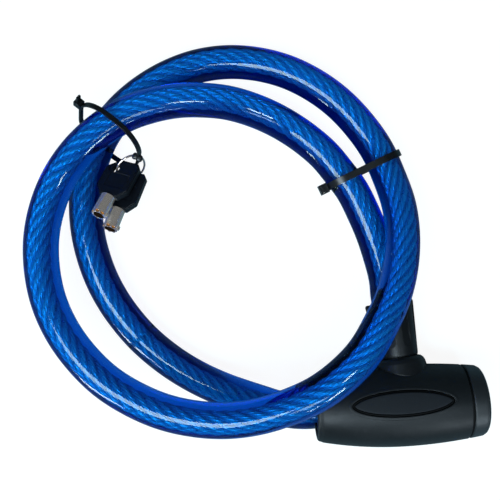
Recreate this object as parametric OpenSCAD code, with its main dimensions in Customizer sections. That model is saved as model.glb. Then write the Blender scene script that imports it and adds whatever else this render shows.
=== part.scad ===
// Coiled cable lock: a thick plastic-covered steel cable lies in two loops. One end is anchored
// in the side of a barrel lock, and the other ends in a locking pin that pushes into its mouth.
// Turning the tubular-key core moves a crank, which slides a keyhole latch across the pin's neck.
// Two keys hang from a ring and a tie. Millimetres, +Z up, ground at z = 0, +X towards the key end.
// Every route and place below is measured from the middle of the lock's mouth on the ground.
// The plug is fully in at rest and the latch is open, so every joint can move on its own.

/* [Cable] */
// outside diameter of the plastic jacket
cable_d = 18; // [16:0.5:18]
// diameter of the steel rope inside the jacket
rope_d = 8; // [7:0.2:9]
// gap all round between the rope and the jacket's bore
rope_gap = 0.9; // [0.4:0.1:1]

/* [Barrel] */
// length from the mouth to the key end
barrel_len = 87; // [85:1:90]
// largest radius, at the belly
belly_r = 20.9; // [20.5:0.1:22]
// distance of the belly from the mouth
belly_x = 46; // [44:1:48]
// radius of the cover at the mouth
mouth_r = 15.6; // [15.4:0.1:17]
// radius of the end cap at the key end
cap_r = 17.8; // [17:0.1:19]
// length of the end cap
cap_len = 8.6; // [8:0.2:9]
// wall of the cover between its ribs
cover_wall = 2.4; // [1.8:0.2:3]
// radius of the zinc housing in the cover
housing_r = 13; // [13:0.1:13.4]

/* [Oval inlay] */
// length of the oval recess
oval_len = 53; // [48:1:56]
// width of the oval recess
oval_wide = 15; // [13:0.5:17]
// depth of the oval recess
oval_deep = 1.6; // [1:0.2:1.8]
// width of the groove round the inlay
oval_groove = 1.7; // [1:0.1:2.2]

/* [Boot] */
// length of the rubber boot
boot_len = 29; // [26:1:32]
// radius of the boot at the collar
boot_base_r = 10.4; // [10.2:0.1:10.8]
// radius of the boot's flared end
boot_end_r = 12.7; // [12.2:0.1:13]
// number of flutes round the boot
flutes = 8; // [6:1:10]
// width of a flute
flute_wide = 4.2; // [3:0.1:4.6]

/* [Locking pin] */
// diameter of the locking pin
pin_d = 9; // [8.6:0.1:9.2]
// diameter of the pin's neck, where the latch engages
neck_d = 5.5; // [5:0.1:5.8]
// how far the pin's tip reaches from the mouth
pin_reach = 38.5; // [38:0.1:39]
// diameter of the ferrule that joins the pin and the cable
ferrule_d = 18.6; // [18.4:0.1:18.8]

/* [Latch] */
// throw of the crank on the core, from the barrel's axis
crank_throw = 3; // [2.9:0.05:3.1]
// thickness of the latch's keyhole plate
latch_plate = 3.2; // [2.8:0.1:3.4]

/* [Key core] */
// radius of the lock cylinder's case
case_r = 7.5; // [7.4:0.1:7.8]
// number of pins, on a circle of eight places
pin_count = 7; // [5:1:7]
// radius of the circle of pins
pin_circle = 3.45; // [3.4:0.05:3.5]
// radius of a tumbler pin
tumbler_r = 0.75; // [0.6:0.05:0.75]

/* [Keys] */
// outside diameter of a key's tube
key_tube_d = 7.9; // [7.8:0.1:8]
// length of tube that shows outside the head
key_tube_len = 13; // [11:0.5:15]
// width of a key's head
key_head_wide = 17.4; // [16:0.2:18]
// thickness of a key's head
key_head_thick = 4.4; // [4:0.2:4.6]
// diameter of the key ring, to the middle of its wire
ring_d = 16; // [15.6:0.2:16.4]

/* [Ties] */
// width of the tie round both strands
coil_tie_wide = 3.6; // [3:0.1:4.8]
// width of the tie that holds the keys
key_tie_wide = 2.5; // [2.2:0.1:3]
// thickness of a tie's strap
tie_thick = 1.1; // [1:0.1:1.2]

/* [Hidden] */
fit = 0.06;          // radial clearance of a running fit
slip = 0.3;          // clearance of a loose fit
seat = 0.15;         // clearance of a still piece in its seat
bite = 0.1;          // how far a cut runs past a face
arc_steps = 12;      // steps in each half of the barrel's curve
place = [13.7, -75.6, 0];   // puts the middle of the lock, ties and keys on the origin

// ---- stance of the lock ----
axis_z = belly_r;    // the barrel lies on its belly
droop = 8.5;         // the side outlet points this far below level
lean = 5;            // and this far back towards the mouth
outlet_x = 46.2;     // where the outlet's axis leaves the collar
outlet_over = 4;     // distance of the collar's seam from the belly
outlet_r = belly_r + outlet_over;
oval_x = 43;         // middle of the oval inlay
oval_roll = 6.5;     // the oval is turned this far towards the boot

// ---- cover and cap ----
cap_x = barrel_len - cap_len;
seam_gap = 0.3;
seam_deep = 0.9;
seam_wide = 1.1;
rib_wide = 2.4;
rib_x = [2, 23, 66];
spigot_len = 4;
spigot_r = 15.9;

// ---- plug, from the mouth inwards ----
cable_r = cable_d / 2;
rope_r = rope_d / 2;
bore_r = rope_r + rope_gap;
pin_r = pin_d / 2;
neck_r = neck_d / 2;
ferrule_r = ferrule_d / 2;
ferrule_x = 5;
ferrule_len = 17.5;
rope_socket = 11;
neck_x = 30;
neck_len = 4;
tip_taper = 1.8;
housing_x = 1.2;
socket_x = 23.2;

// ---- latch and crank ----
latch_x = neck_x + (neck_len - latch_plate) / 2;
latch_hole_r = pin_r + 0.4;
latch_slot_r = neck_r + 0.25;
crank_swing = crank_throw / sqrt(2);
latch_travel = 2 * crank_swing;
latch_half = 7;
latch_top = 10.7;
latch_low = 6.5;
rail_in = 5.3;
yoke_x = 41;
yoke_plate = 3;
crank_r = 1.5;
cam_x = yoke_x + yoke_plate + 1;
cam_len = 3.2;
cam_r = 6.5;

// ---- lock cylinder ----
core_r = case_r - 1.22;
case_sunk = 0.6;     // the case ends this far inside the key end
case_len = 29.4;
case_end = barrel_len - case_sunk;
case_x = case_end - case_len;
flange_r = case_r + 1.1;
flange_len = 2;
shear_x = case_x + 9;
keyway_x = shear_x + 4.2;
keyway_r = pin_circle + tumbler_r + 0.1;
post_r = 2.5;
post_end = case_end - 1;
shaft_r = 2.3;
tumbler_bore = tumbler_r + 0.05;
driver_len = 3.2;
spring_len = 3;
case_pin_r = 1.2;

// ---- anchor ----
anchor_r = 6.4;
anchor_in = -12.6;   // along the outlet's axis from the collar's seam
anchor_out = 2.2;
anchor_len = anchor_out - anchor_in;
anchor_pin_r = 1.5;
anchor_pin_s = -8;
boss_r = 9;
boss_s = -6;
boot_wall_gap = 0.2;

// ---- collar: radius and distance from the barrel's axis, less the seam's distance ----
collar_profile = [[9.7, 0], [11.4, -0.5], [12.6, -1.6], [13.3, -3.3], [13.7, -5.8], [14.3, -9.2],
                  [15, -12.5]];

// ---- key head: outline in the head's plane, x across it and y from the tube's mouth side ----
head_w = key_head_wide / 2;
head_outline = [[4.8, -1.3], [head_w, 3.7], [head_w, 19.4], [head_w - 1.6, 21.4], [-2.6, 21.2],
                [-head_w + 0.6, 16.2], [-head_w, 15], [-head_w, 3.7], [-4.8, -1.3]];
key_hole = [-4.2, 15.6];
key_hole_r = 3;
key_in_head = 6;      // depth of the tang in the head
key_tang = [6.4, 2];  // width and thickness of the flat tang
key_shoulder = head_outline[0][1];   // the tube stops at the head's edge
key_end_wall = 1.2;   // metal between the tube's bore and the tang
panel = [10.5, 9];    // sunk panel on each side of a head
panel_mid = [0.6, 8.4];
panel_deep = 0.4;
tube_wall = 1.1;

// ---- keys: mouth of each head, turned about Z, pitched up at the open end, rolled ----
key_spots = [
    [[-98.9, 119.7, 23.6], -27, 26, 14],
    [[-95.5, 113.2, 18.6], -22, 22, 13]];

// ---- ties and ring ----
coil_tie_mid = [35, 124.7, 11.35];
coil_tie_turn = 21.9;
coil_tie_span = 22.2;
coil_tie_r = cable_r + 0.9;
key_tie_mid = [-97.3, 150.6, 20.6];
key_tie_turn = -41.6;
key_tie_lean = 21.4;   // its top leans this far towards the loops' outside
key_tie_out = [39, 43];
key_tie_corner = 16.9;
ring_wire_r = 0.55;
ring_mid = [-88.7, 134.3, 12.6];
ring_turn = 35.1;
ring_tilt = 54.3;

// ---- route of the cable, from the boot round two loops to the plug ----
boot_runs = [anchor_out, 8, 14, 20, 26, 33];
outer_loop_points = [
    [43.2, 65.3, 11.6], [41.8, 74.6, 10.8], [38.3, 89.3, 10.2], [33.7, 102.5, 10.4],
    [28.6, 114.4, 10.8], [21.9, 124.9, 10.8], [14.9, 134.6, 10.4], [6.5, 142.9, 10.6],
    [-2.7, 150, 11.8], [-12.6, 155.9, 14], [-23.4, 160.6, 17], [-34.9, 163.9, 20.5],
    [-47.1, 165.3, 24], [-60, 165.4, 27], [-73.3, 163.4, 29.1], [-87, 159.4, 30.1],
    [-100, 152.4, 30.2], [-111.9, 142.9, 29.7], [-122, 130.8, 29.2], [-129.4, 116.5, 29.3],
    [-133.7, 100.6, 30], [-134.2, 84, 31.5], [-131.5, 67.5, 33], [-125.3, 51.9, 34.5],
    [-116.1, 37.9, 36], [-104.6, 25.9, 38], [-91.1, 16.6, 40], [-76.4, 9.5, 41.5],
    [-60.9, 5.3, 43], [-45.1, 3.7, 44.5], [-29.4, 4.9, 45.6], [-14.3, 8.7, 46.6],
    [0.1, 14.3, 47], [13.1, 22.6, 47], [24.5, 32.8, 45.5], [33.9, 45.5, 42],
    [41.8, 58.2, 37], [47.6, 72.7, 31.4], [50.9, 88.1, 25.4], [51.4, 104.1, 19.2]];
inner_loop_points = [
    [48.4, 120, 13.6], [43.2, 135.3, 11.2], [35, 149.3, 10], [24.7, 161.9, 9.4],
    [12.3, 172.4, 9.2], [-1.9, 180.6, 9.2], [-17.4, 185.8, 9.2], [-33.6, 188, 9.2],
    [-49.9, 186.8, 9.2], [-65.3, 182.3, 9.2], [-79.4, 175, 9.8], [-91.7, 165.4, 10.8],
    [-101.8, 153.9, 11.2], [-108.7, 140.9, 11.1], [-113.1, 127.1, 10.2], [-114.9, 113.2, 9.2],
    [-114.4, 99.7, 9.2], [-112.1, 86.9, 9.2], [-108.4, 74.9, 9.2], [-103.2, 63.6, 9.2],
    [-96.8, 53.2, 9.2], [-89.3, 43.4, 9.2]];
lead_points = [
    [-80.5, 34.4, 9.2], [-70.4, 26.1, 9.6], [-59, 18.8, 10.9], [-47.5, 13.1, 12.9],
    [-37.5, 9.2, 15.2], [-28.5, 6, 17.4], [-20, 3, 19.3], [-12.2, 0.8, 20.5]];
lead_runs = [-5, 0, ferrule_x];

cable_sides = 10;
rope_sides = 8;
steps_per_point = 2;

function on_outlet(run) = let (r = outlet_r + run * cos(lean))
    [outlet_x - run * sin(lean), r * cos(droop), axis_z - r * sin(droop)];
function unit(v) = v / norm(v);
function between(a, b, c, d, t) = 0.5 * (2 * b + (c - a) * t + (2 * a - 5 * b + 4 * c - d) * t * t
    + (3 * b - a - 3 * c + d) * t * t * t);
function smooth(points) = let (last = len(points) - 1) concat(
    [for (i = [0 : last - 1], k = [0 : steps_per_point - 1])
        between(points[max(i - 1, 0)], points[i], points[i + 1], points[min(i + 2, last)],
                k / steps_per_point)],
    [points[last]]);
function heading(path, i) = unit(path[min(i + 1, len(path) - 1)] - path[max(i - 1, 0)]);
function ring_at(path, i, r, sides) = let (
    ahead = heading(path, i), side = unit(cross(ahead, [0, 0, 1])), up = cross(side, ahead))
    [for (k = [0 : sides - 1]) path[i] + r * (cos(360 * k / sides) * side
                                              + sin(360 * k / sides) * up)];
function rings(path, first, last, r, sides) =
    [for (i = [first : last]) each ring_at(path, i, r, sides)];
function skin(count, sides, start, out) = [
    for (i = [0 : count - 2], k = [0 : sides - 1], half = [0, 1]) let (
        n = (k + 1) % sides, a = start + i * sides + k, b = start + i * sides + n,
        c = a + sides, d = b + sides, face = half == 0 ? [a, b, d] : [a, d, c])
        out ? face : [face[2], face[1], face[0]]];
function washer(outer, inner, sides, front) = [
    for (k = [0 : sides - 1], half = [0, 1]) let (
        n = (k + 1) % sides,
        face = half == 0 ? [outer + k, inner + k, inner + n] : [outer + k, inner + n, outer + n])
        front ? face : [face[2], face[1], face[0]]];
function disc(start, sides, front) = [
    for (k = [1 : sides - 2]) let (face = [start, start + k + 1, start + k])
        front ? face : [face[2], face[1], face[0]]];

boot_run_points = [for (s = boot_runs) on_outlet(s)];
lead_run_points = [for (x = lead_runs) [x, 0, axis_z]];
cable_path = smooth(concat(boot_run_points, outer_loop_points, inner_loop_points, lead_points,
                           lead_run_points));
last_ring = len(cable_path) - 1;
seam_ring = steps_per_point * (len(boot_runs) + len(outer_loop_points) + len(inner_loop_points) - 1);
anchor_rope = [for (s = [anchor_in + 1.6, -5]) on_outlet(s)];
plug_rope = [for (x = [ferrule_x + rope_socket / 2, ferrule_x + rope_socket]) [x, 0, axis_z]];
rope_path = concat(anchor_rope, cable_path, plug_rope);

function reach(path) = [for (i = 0, d = 0; i < len(path);
    d = d + (i + 1 < len(path) ? norm(path[i + 1] - path[i]) : 0), i = i + 1) d];
cable_reach = reach(cable_path);
far_along = 3 * cable_d;
self_gap = min([for (i = [0 : last_ring], j = [i : last_ring])
    if (cable_reach[j] - cable_reach[i] > far_along) norm(cable_path[i] - cable_path[j])]) - cable_d;
echo(cable_length = cable_reach[last_ring], least_self_gap = self_gap);

// ---- frames and small shapes ----
module in_lock() {
    translate(place + [0, 0, axis_z]) rotate([-droop, 0, 0]) children();
}

module on_boot_axis() {
    in_lock() translate([outlet_x, outlet_r, 0]) rotate([0, 0, lean]) rotate([-90, 0, 0])
        children();
}

module rod(r, x0, x1) {
    translate([x0, 0, 0]) rotate([0, 90, 0]) cylinder(r = r, h = x1 - x0, $fn = 96);
}

module cone(r0, r1, x0, x1) {
    translate([x0, 0, 0]) rotate([0, 90, 0]) cylinder(r1 = r0, r2 = r1, h = x1 - x0, $fn = 96);
}

module stadium(long, wide) {
    square([long - wide, wide], center = true);
    for (side = [-1, 1]) translate([side * (long - wide) / 2, 0]) circle(d = wide, $fn = 48);
}

module block(x, y, z) {
    translate([x[0], y[0], z[0]]) cube([x[1] - x[0], y[1] - y[0], z[1] - z[0]]);
}

// ---- barrel: a parabola each side of the belly ----
function barrel_r(x) = x < belly_x
    ? belly_r - (belly_r - mouth_r) * pow((x - belly_x) / belly_x, 2)
    : belly_r - (belly_r - cap_r) * pow((x - belly_x) / (barrel_len - belly_x), 2);
function barrel_curve(x0, x1, inset) = [for (i = [0 : 2 * arc_steps])
    let (x = x0 + (x1 - x0) * i / (2 * arc_steps)) [barrel_r(x) - inset, x]];
function rim(r, x, size, from, to) = [for (i = [0 : 4])
    let (a = from + (to - from) * i / 4) [r - size + size * cos(a), x + size * sin(a)]];

module revolve(points) {
    rotate([0, 90, 0]) rotate_extrude($fn = 96) polygon(points);
}

module barrel_core(x0, x1, inset) {
    revolve(concat([[0, x0]], barrel_curve(x0, x1, inset), [[0, x1]]));
}

// ellipse of the oval recess, drawn in by inset all round
function oval_point(a, inset) = let (out = unit([oval_wide * cos(a), oval_len * sin(a)]))
    [oval_len / 2 * cos(a), oval_wide / 2 * sin(a)] - inset * out;
module oval(inset) {
    polygon([for (i = [0 : 47]) oval_point(360 * i / 48, inset)]);
}

// soft-touch cover, with inner ribs on the housing
module lock_cover() {
    rim_size = 1.5;
    end_x = cap_x - seam_gap;
    color([0.07, 0.07, 0.08]) difference() {
        in_lock() revolve(concat(
            [[housing_r + seat, 0]],
            rim(mouth_r, rim_size, rim_size, -90, 0),
            barrel_curve(2 * rim_size, end_x - seam_wide, 0),
            [[barrel_r(end_x) - seam_deep, end_x - seam_wide], [barrel_r(end_x) - seam_deep, end_x],
             [spigot_r + seat, end_x], [spigot_r + seat, end_x - spigot_len - slip],
             [housing_r + seat, end_x - spigot_len - slip]]));
        in_lock() for (i = [0 : len(rib_x) - 1]) {
            from = rib_x[i] + rib_wide;
            to = i + 1 < len(rib_x) ? rib_x[i + 1] : end_x - spigot_len - rib_wide;
            if (to > from + rib_wide) revolve(concat([[1, from]],
                barrel_curve(from, to, cover_wall), [[1, to]]));
        }
        in_lock() rotate([-oval_roll, 0, 0]) difference() {
            translate([oval_x, 0, 0]) linear_extrude(belly_r + bite) oval(0);
            barrel_core(1, end_x - 1, oval_deep);
        }
        on_boot_axis() translate([0, 0, -outlet_r]) cylinder(r = boss_r + 2 * seat, h = outlet_r,
                                                             $fn = 96);
    }
}

// ring at the key end, on a spigot between the cover and the housing
module end_cap() {
    rim_size = 2.2;
    color([0.07, 0.07, 0.08]) in_lock() difference() {
        union() {
            revolve(concat([[0, cap_x], [barrel_r(cap_x) - seam_deep / 2, cap_x],
                            [barrel_r(cap_x + 0.5), cap_x + 0.5]],
                barrel_curve(cap_x + 1, barrel_len - rim_size, 0),
                rim(cap_r, barrel_len - rim_size, rim_size, 0, 90), [[0, barrel_len]]));
            rod(spigot_r, cap_x - spigot_len, cap_x + bite);
        }
        rod(housing_r + seat, cap_x - spigot_len - bite, cap_x + 0.6);
        rod(case_r + seat, cap_x, barrel_len);
        rod(flange_r + seat, case_end - flange_len, barrel_len + bite);
        cone(flange_r + seat, flange_r + 1.2, barrel_len - 0.8, barrel_len + bite);
    }
}

// bare oval panel, level with the cover
module oval_inlay() {
    color([0.10, 0.10, 0.11]) in_lock() rotate([-oval_roll, 0, 0]) intersection() {
        translate([oval_x, 0, 0]) linear_extrude(belly_r + bite) oval(oval_groove);
        difference() {
            barrel_core(1, cap_x - 1, 0.1);
            barrel_core(0.5, cap_x - 0.5, oval_deep);
        }
    }
}

// zinc body: socket, latch window, crank pocket, cylinder bore and anchor boss
module lock_housing() {
    color([0.62, 0.63, 0.65]) difference() {
        union() {
            in_lock() rod(housing_r, housing_x, cap_x);
            on_boot_axis() translate([0, 0, anchor_in - 3]) cylinder(r = boss_r,
                h = boss_s - anchor_in + 3, $fn = 64);
        }
        in_lock() {
            rod(ferrule_r + slip, housing_x - bite, socket_x);
            cone(ferrule_r + 1.4, ferrule_r + slip, housing_x - bite, housing_x + 1.6);
            rod(pin_r + fit, socket_x - bite, yoke_x);
            block([latch_x - 0.2, yoke_x + yoke_plate + 0.3], [-latch_half - 0.1, latch_half + 0.1],
                  [-housing_r, housing_r]);
            rod(cam_r + 0.4, yoke_x + yoke_plate, cam_x + cam_len + 0.2);
            rod(shaft_r + fit, cam_x, case_x + bite);
            rod(case_r + fit, case_x - 0.2, cap_x + bite);
            translate([shear_x - 4, 0, 0]) rotate([90, 0, 0])
                cylinder(r = case_pin_r, h = housing_r + 1, $fn = 32);
        }
        on_boot_axis() {
            translate([0, 0, anchor_in]) cylinder(r = anchor_r, h = anchor_len, $fn = 64);
            translate([0, 0, anchor_pin_s]) rotate([0, 90, 0])
                cylinder(r = anchor_pin_r, h = 3 * boss_r, center = true, $fn = 32);
        }
    }
}

// domed collar that seats the boot on the barrel's side
module outlet_collar() {
    color([0.09, 0.09, 0.10]) difference() {
        on_boot_axis() union() {
            difference() {
                rotate_extrude($fn = 96) polygon(concat([[0, 0]], collar_profile,
                    [[0, collar_profile[len(collar_profile) - 1][1]]]));
                rotate([90, 0, 0]) rotate([0, 0, -lean]) translate([-outlet_x, -outlet_r, 0])
                    barrel_core(1, cap_x, -0.05);
            }
            translate([0, 0, boss_s + seat]) cylinder(r = boss_r, h = -boss_s - seat, $fn = 96);
        }
        on_boot_axis() translate([0, 0, boss_s - bite]) cylinder(r = anchor_r + seat,
            h = anchor_len, $fn = 64);
    }
}

// fluted rubber boot round the cable
module cable_boot() {
    flute_floor = boot_base_r + 0.2;   // radius of the flutes' floors
    flute_out = boot_end_r - flute_floor + 1;
    flute_start = 5.2;
    foot = [0.5, 1];      // how far the foot's chamfer draws in, and its height
    lip = [0.5, 0.8];     // the same at the flared end
    waist_r = boot_base_r - 0.1;
    color([0.06, 0.06, 0.07]) on_boot_axis() difference() {
        union() {
            cylinder(r1 = boot_base_r - foot[0], r2 = waist_r, h = foot[1], $fn = 96);
            translate([0, 0, foot[1]]) cylinder(r1 = waist_r, r2 = boot_end_r,
                                                h = boot_len - foot[1] - lip[1], $fn = 96);
            translate([0, 0, boot_len - lip[1]]) cylinder(r1 = boot_end_r,
                r2 = boot_end_r - lip[0], h = lip[1], $fn = 96);
        }
        translate([0, 0, anchor_out]) cylinder(r = cable_r + boot_wall_gap, h = boot_len, $fn = 96);
        translate([0, 0, -bite]) cylinder(r = anchor_r + seat, h = anchor_out + 1, $fn = 96);
        for (i = [0 : flutes - 1]) rotate([0, 0, (i + 0.5) * 360 / flutes]) {
            translate([flute_floor, 0, flute_start + flute_wide / 2])
                rotate([0, 90, 0]) cylinder(d = flute_wide, h = flute_out, $fn = 32);
            translate([flute_floor, -flute_wide / 2, flute_start + flute_wide / 2])
                cube([flute_out, flute_wide, boot_len]);
        }
    }
}

// steel ferrule crimped on the anchored end of the rope
module anchor_ferrule() {
    color([0.55, 0.56, 0.58]) on_boot_axis() difference() {
        translate([0, 0, anchor_in]) cylinder(r = anchor_r, h = anchor_len, $fn = 64);
        translate([0, 0, anchor_in + 1.4]) cylinder(r = rope_r + seat, h = anchor_len, $fn = 64);
        translate([0, 0, anchor_pin_s]) rotate([0, 90, 0])
            cylinder(r = anchor_pin_r, h = 3 * boss_r, center = true, $fn = 32);
    }
}

// two half pins through the boss, one each side of the rope
module anchor_pin() {
    color([0.72, 0.72, 0.74]) on_boot_axis() translate([0, 0, anchor_pin_s])
        for (side = [0, 180]) rotate([0, 0, side]) translate([rope_r + 0.4, 0, 0])
            rotate([0, 90, 0]) cylinder(r = anchor_pin_r, h = boss_r - rope_r - 0.4, $fn = 32);
}

// case of the tubular lock, with a flange and a notch for the key's nib
module cylinder_case() {
    color([0.80, 0.80, 0.82]) in_lock() difference() {
        union() {
            rod(case_r, case_x, case_end);
            rod(flange_r, case_end - flange_len + seat, case_end - 0.4);
            cone(flange_r, flange_r - 0.4, case_end - 0.4, case_end);
        }
        rod(core_r + fit, case_x - bite, keyway_x);
        rod(keyway_r, keyway_x - bite, case_end + bite);
        block([keyway_x + 6, case_end + bite], [keyway_r - 0.5, keyway_r + 0.9], [-0.8, 0.8]);
        translate([shear_x - 4, 0, 0]) rotate([90, 0, 0])
            cylinder(r = case_pin_r, h = housing_r, $fn = 32);
    }
}

// radial pin that holds the case and the sleeve
module case_pin() {
    color([0.72, 0.72, 0.74]) in_lock() translate([shear_x - 4, -core_r + 0.9, 0])
        rotate([90, 0, 0]) cylinder(r = case_pin_r, h = housing_r - core_r - 1, $fn = 32);
}

module at_tumblers() {
    for (i = [1 : pin_count]) rotate([i * 45, 0, 0]) translate([0, pin_circle, 0]) children();
}

// fixed sleeve that holds the drivers and their springs
module pin_sleeve() {
    color([0.72, 0.58, 0.30]) in_lock() difference() {
        rod(core_r, case_x + 1, shear_x);
        rod(shaft_r + fit, case_x, shear_x + bite);
        at_tumblers() rod(tumbler_bore, shear_x - driver_len - spring_len, shear_x + bite);
        translate([shear_x - 4, 0, 0]) rotate([90, 0, 0])
            translate([0, 0, core_r - 0.9]) cylinder(r = case_pin_r, h = housing_r, $fn = 32);
    }
}

module driver_pins() {
    color([0.75, 0.62, 0.34]) in_lock() at_tumblers()
        rod(tumbler_r, shear_x - driver_len, shear_x);
}

module driver_springs() {
    color([0.70, 0.70, 0.72]) in_lock() at_tumblers() difference() {
        rod(tumbler_r - 0.1, shear_x - driver_len - spring_len, shear_x - driver_len);
        rod(tumbler_r - 0.35, shear_x - driver_len - spring_len - bite, shear_x);
    }
}

// turning core: centre post, pin carrier and shaft in one piece
module cylinder_core() {
    color([0.74, 0.60, 0.32]) in_lock() difference() {
        union() {
            rod(shaft_r, cam_x + 1.2, shear_x + 0.2);
            rod(core_r, shear_x + 0.15, keyway_x - 0.15);
            rod(post_r, keyway_x - 0.2, post_end - 0.4);
            cone(post_r, post_r - 0.4, post_end - 0.4, post_end);
        }
        at_tumblers() rod(tumbler_bore, shear_x, keyway_x);
        block([keyway_x + 3, post_end + bite], [post_r - 0.9, post_r + 0.5], [-0.55, 0.55]);
    }
}

// key pins of five lengths
module key_pins() {
    color([0.75, 0.62, 0.34]) in_lock() for (i = [1 : pin_count])
        rotate([i * 45, 0, 0]) translate([0, pin_circle, 0])
            rod(tumbler_r, shear_x + 0.15, keyway_x + 0.6 + 0.4 * (i * 2 % 5));
}

// cam on the core's shaft, with the crank pin that drives the latch
module core_cam() {
    color([0.66, 0.66, 0.68]) in_lock() difference() {
        union() {
            rod(cam_r, cam_x, cam_x + cam_len);
            translate([0, crank_swing, crank_swing]) rod(crank_r, yoke_x + 0.3, cam_x + bite);
        }
        rod(shaft_r, cam_x + 1.2, cam_x + cam_len + bite);
    }
}

// sliding latch: keyhole plate in front, two rails, and a yoke plate on the crank
module latch_slider() {
    back_x = yoke_x + yoke_plate;
    slot_r = crank_r + 0.2;
    color([0.60, 0.61, 0.63]) in_lock() difference() {
        union() {
            block([latch_x, latch_x + latch_plate], [-latch_half, latch_half],
                  [-latch_low, latch_top]);
            block([latch_x, back_x], [rail_in, latch_half], [-latch_low, latch_top]);
            block([latch_x, back_x], [-latch_half, -rail_in], [-latch_low, latch_top]);
            block([yoke_x, back_x], [-latch_half, latch_half], [-latch_low, latch_top]);
        }
        rod(latch_hole_r, latch_x - bite, latch_x + latch_plate + bite);
        translate([0, 0, latch_travel]) rod(latch_slot_r, latch_x - bite,
                                            latch_x + latch_plate + bite);
        block([latch_x - bite, latch_x + latch_plate + bite], [-latch_slot_r, latch_slot_r],
              [0, latch_travel]);
        for (y = [crank_swing - 0.3, crank_throw + 0.3]) translate([0, y, crank_swing])
            rod(slot_r, yoke_x - bite, back_x + bite);
        block([yoke_x - bite, back_x + bite], [crank_swing - 0.3, crank_throw + 0.3],
              [crank_swing - slot_r, crank_swing + slot_r]);
    }
}

// ferrule crimped on the rope's free end
module plug_ferrule() {
    end_x = ferrule_x + ferrule_len;
    color([0.72, 0.72, 0.74]) in_lock() difference() {
        union() {
            rod(ferrule_r, ferrule_x, end_x - 1);
            cone(ferrule_r, ferrule_r - 1, end_x - 1, end_x);
        }
        rod(rope_r + seat, ferrule_x - bite, ferrule_x + rope_socket + 0.2);
        rod(pin_r, ferrule_x + rope_socket + 1.4, end_x + bite);
    }
}

// locking pin with its neck and tapered tip
module locking_pin() {
    color([0.82, 0.82, 0.84]) in_lock() {
        rod(pin_r, ferrule_x + rope_socket + 1.4, neck_x);
        rod(neck_r, neck_x - bite, neck_x + neck_len + bite);
        rod(pin_r, neck_x + neck_len, pin_reach - tip_taper);
        cone(pin_r, pin_r - tip_taper, pin_reach - tip_taper, pin_reach);
    }
}

// ---- cable: jacket and rope, each in two lengths that meet at one ring ----
module sleeve(path, first, last, r_out, r_in, sides) {
    count = last - first + 1;
    ring_total = count * sides;
    translate(place) polyhedron(
        concat(rings(path, first, last, r_out, sides), rings(path, first, last, r_in, sides)),
        concat(skin(count, sides, 0, true), skin(count, sides, ring_total, false),
               washer(0, ring_total, sides, true),
               washer(ring_total - sides, 2 * ring_total - sides, sides, false)));
}

module cord_core(path, first, last, r, sides) {
    count = last - first + 1;
    translate(place) polyhedron(
        rings(path, first, last, r, sides),
        concat(skin(count, sides, 0, true), disc(0, sides, true),
               disc((count - 1) * sides, sides, false)));
}

module cable_loops() {
    color([0.05, 0.28, 0.85, 0.7]) sleeve(cable_path, 0, seam_ring, cable_r, bore_r, cable_sides);
}

module cable_lead() {
    color([0.05, 0.28, 0.85, 0.7])
        sleeve(cable_path, seam_ring, last_ring, cable_r, bore_r, cable_sides);
}

module rope_loops() {
    color([0.66, 0.68, 0.72])
        cord_core(rope_path, 0, seam_ring + len(anchor_rope), rope_r, rope_sides);
}

module rope_lead() {
    color([0.66, 0.68, 0.72]) cord_core(rope_path, seam_ring + len(anchor_rope),
                                        len(rope_path) - 1, rope_r, rope_sides);
}

// ---- ties ----
module strap_block(size, spot) {
    translate(spot) cube(size, center = true);
}

// nylon tie round both strands, with its ratchet head on the inner side and a trimmed tail
module coil_tie() {
    head = [4.6, 5.2, 5.4];
    tail = 6.5;
    outside_r = coil_tie_r + tie_thick;
    head_x = -coil_tie_span / 2 - outside_r - head[0] / 2 + 1;
    color([0.05, 0.05, 0.06]) translate(place + coil_tie_mid) rotate([90, 0, coil_tie_turn]) {
        linear_extrude(coil_tie_wide, center = true) difference() {
            stadium(coil_tie_span + 2 * outside_r, 2 * outside_r);
            stadium(coil_tie_span + 2 * coil_tie_r, 2 * coil_tie_r);
        }
        difference() {
            strap_block([head[0], head[2], head[1]], [head_x, 1, 0]);
            strap_block([1.5, 2 * head[2], coil_tie_wide + 0.4], [head_x - 0.7, 1, 0]);
        }
        strap_block([tie_thick, tail, coil_tie_wide], [head_x - 0.7, 2.6, 0]);
    }
}

// thinner tie that loops loosely round the crossing of both strands and through the key ring
module key_tie() {
    inner = [key_tie_out[0] - 2 * tie_thick, key_tie_out[1] - 2 * tie_thick];
    head = 4;
    head_x = -key_tie_out[0] / 2 - 0.9;
    head_z = 10;
    color([0.05, 0.05, 0.06]) translate(place + key_tie_mid) rotate([90 - key_tie_lean, 0, key_tie_turn]) {
        linear_extrude(key_tie_wide, center = true) difference() {
            round_frame(key_tie_out, key_tie_corner);
            round_frame(inner, key_tie_corner - tie_thick);
        }
        difference() {
            strap_block([head, head, head], [head_x, head_z, 0]);
            strap_block([1.3, 2 * head, key_tie_wide + 0.3], [head_x - 0.4, head_z, 0]);
        }
        strap_block([tie_thick, 8, key_tie_wide], [head_x - 0.4, head_z + 2.4, 0]);
    }
}

module round_frame(size, corner) {
    square([size[0], size[1] - 2 * corner], center = true);
    square([size[0] - 2 * corner, size[1]], center = true);
    for (x = [-1, 1], y = [-1, 1])
        translate([x * (size[0] / 2 - corner), y * (size[1] / 2 - corner)])
            circle(r = corner, $fn = 64);
}

// wire ring through both key heads and round the tie
module key_ring() {
    color([0.85, 0.85, 0.87]) translate(place + ring_mid) rotate([0, 0, ring_turn])
        rotate([ring_tilt, 0, 0]) rotate_extrude($fn = 64)
            translate([ring_d / 2, 0]) circle(r = ring_wire_r, $fn = 24);
}

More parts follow.
